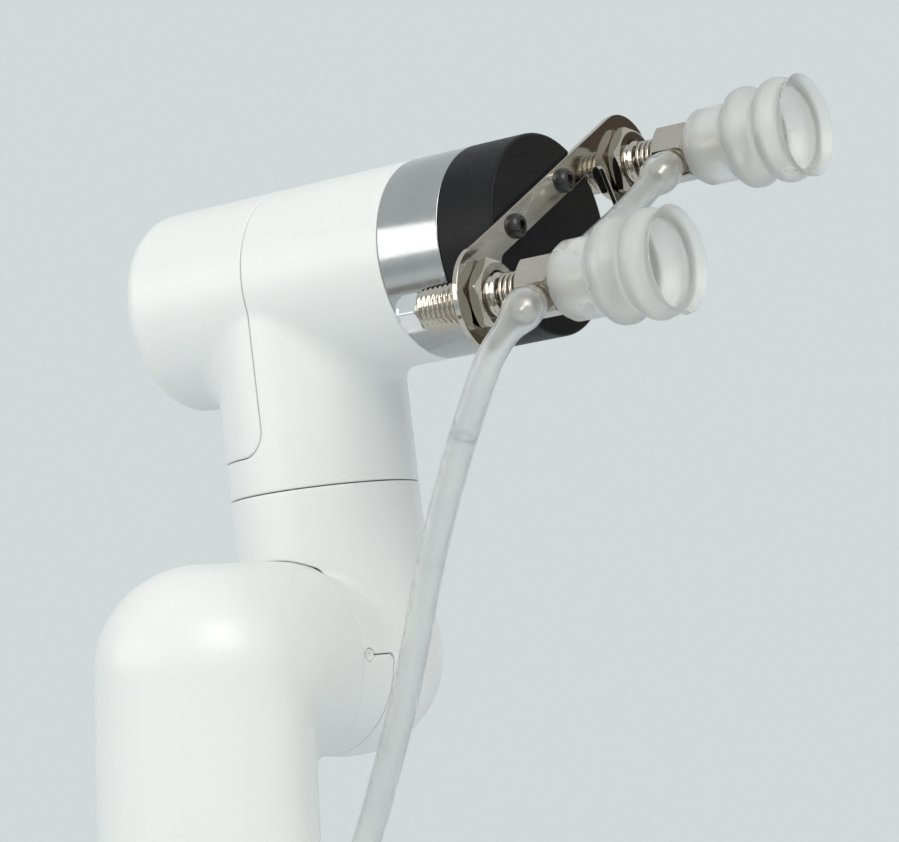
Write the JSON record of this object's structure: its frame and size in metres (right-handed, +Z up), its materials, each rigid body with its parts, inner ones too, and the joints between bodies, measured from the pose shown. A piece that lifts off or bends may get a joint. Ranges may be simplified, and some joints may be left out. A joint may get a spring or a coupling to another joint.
{
  "type": "desktop robot arm",
  "caption": "Desktop robot arm with turning joints in white tube housings and a spring-buffered two-cup vacuum gripper.",
  "frame": {"origin": "centre of the base plate underside, on the base joint axis", "axes": "+Z up along the base joint axis, -Y the way the gripper points at rest, +X towards the upper arm"},
  "size_m": [0.1978, 0.2067, 0.5984],
  "materials": {
    "white_shell": "satin white moulded shell",
    "grey_ring": "satin grey anodised ring",
    "black_adaptor": "matt black moulded or printed plastic",
    "polished_plate": "polished stainless sheet",
    "nickel": "bright nickel plate",
    "black_steel": "black oxide",
    "silicone": "milky translucent silicone",
    "aluminium": "machined",
    "board": "green solder mask",
    "base_plate": "bead-blasted"
  },
  "bodies": {
    "base": {"base_plate": "base_plate", "base_housing": "white_shell", "connector_panel": "black_adaptor", "power_inlet": "nickel", "signal_port": "nickel", "control_board": "board", "base_screw_1": "black_steel", "base_screw_2": "black_steel", "base_screw_3": "black_steel", "base_screw_4": "black_steel", "j1_motor": "aluminium", "j1_gearbox": "aluminium"},
    "shoulder": {"shoulder_housing": "white_shell", "j1_output_flange": "aluminium", "j2_motor": "aluminium", "j2_gearbox": "aluminium"},
    "upper_arm": {"upper_arm_housing": "white_shell", "j2_output_flange": "aluminium", "j3_motor": "aluminium", "j3_gearbox": "aluminium"},
    "forearm": {"forearm_housing": "white_shell", "j3_output_flange": "aluminium", "j4_motor": "aluminium", "j4_gearbox": "aluminium"},
    "wrist_1": {"wrist_1_housing": "white_shell", "wrist_1_collar": "white_shell", "collar_screw": "white_shell", "j4_output_flange": "aluminium", "j5_motor": "aluminium", "j5_gearbox": "aluminium"},
    "wrist_2": {"wrist_2_housing": "white_shell", "wrist_2_rear_cover": "white_shell", "j5_output_flange": "aluminium", "j6_motor": "aluminium", "j6_gearbox": "aluminium"},
    "tool": {"flange_ring": "grey_ring", "j6_output_flange": "aluminium", "tool_adaptor": "black_adaptor", "bracket_screw_1": "black_steel", "bracket_screw_2": "black_steel", "gripper_bracket": "polished_plate", "guide_sleeve_a": "nickel", "rear_nut_a": "nickel", "front_nut_a": "nickel", "guide_sleeve_b": "nickel", "rear_nut_b": "nickel", "front_nut_b": "nickel", "buffer_spring_a": "nickel", "buffer_spring_b": "nickel", "link_hose": "silicone", "supply_hose": "silicone"},
    "suction_a": {"plunger_rod_a": "nickel", "lock_nut_a": "nickel", "hose_fitting_a": "nickel", "suction_cup_a": "silicone"},
    "suction_b": {"plunger_rod_b": "nickel", "lock_nut_b": "nickel", "hose_fitting_b": "nickel", "suction_cup_b": "silicone"}
  },
  "joints": [
    {"name": "base_turn", "type": "hinge", "parent": "base", "child": "shoulder", "pos_m": [0, 0, 0.095], "axis": [0, 0, 1], "range_deg": [-165, 165]},
    {"name": "shoulder_pitch", "type": "hinge", "parent": "shoulder", "child": "upper_arm", "pos_m": [0, 0, 0.16], "axis": [1, 0, 0], "range_deg": [-125, 125]},
    {"name": "elbow_pitch", "type": "hinge", "parent": "upper_arm", "child": "forearm", "pos_m": [0, 0, 0.31], "axis": [-1, 0, 0], "range_deg": [-135, 135]},
    {"name": "wrist_pitch", "type": "hinge", "parent": "forearm", "child": "wrist_1", "pos_m": [0, 0.00353, 0.44495], "axis": [1, 0, 0], "range_deg": [-95, 95]},
    {"name": "wrist_turn", "type": "hinge", "parent": "wrist_1", "child": "wrist_2", "pos_m": [0.0552, 0.00353, 0.44495], "axis": [0, 0.1392, 0.9903], "range_deg": [-165, 165]},
    {"name": "tool_roll", "type": "hinge", "parent": "wrist_2", "child": "tool", "pos_m": [0.0552, 0.01769, 0.54566], "axis": [0.0872, -0.9865, 0.1386], "range_deg": [-175, 175]},
    {"name": "buffer_slide_a", "type": "slide", "parent": "tool", "child": "suction_a", "axis": [-0.0872, 0.9865, -0.1386], "range_m": [0, 0.004], "stiffness_N_per_m": 400, "springref_m": -0.004, "deforming": ["buffer_spring_a", "supply_hose", "link_hose"]},
    {"name": "buffer_slide_b", "type": "slide", "parent": "tool", "child": "suction_b", "axis": [-0.0872, 0.9865, -0.1386], "range_m": [0, 0.004], "stiffness_N_per_m": 400, "springref_m": -0.004, "deforming": ["buffer_spring_b"]}
  ]
}
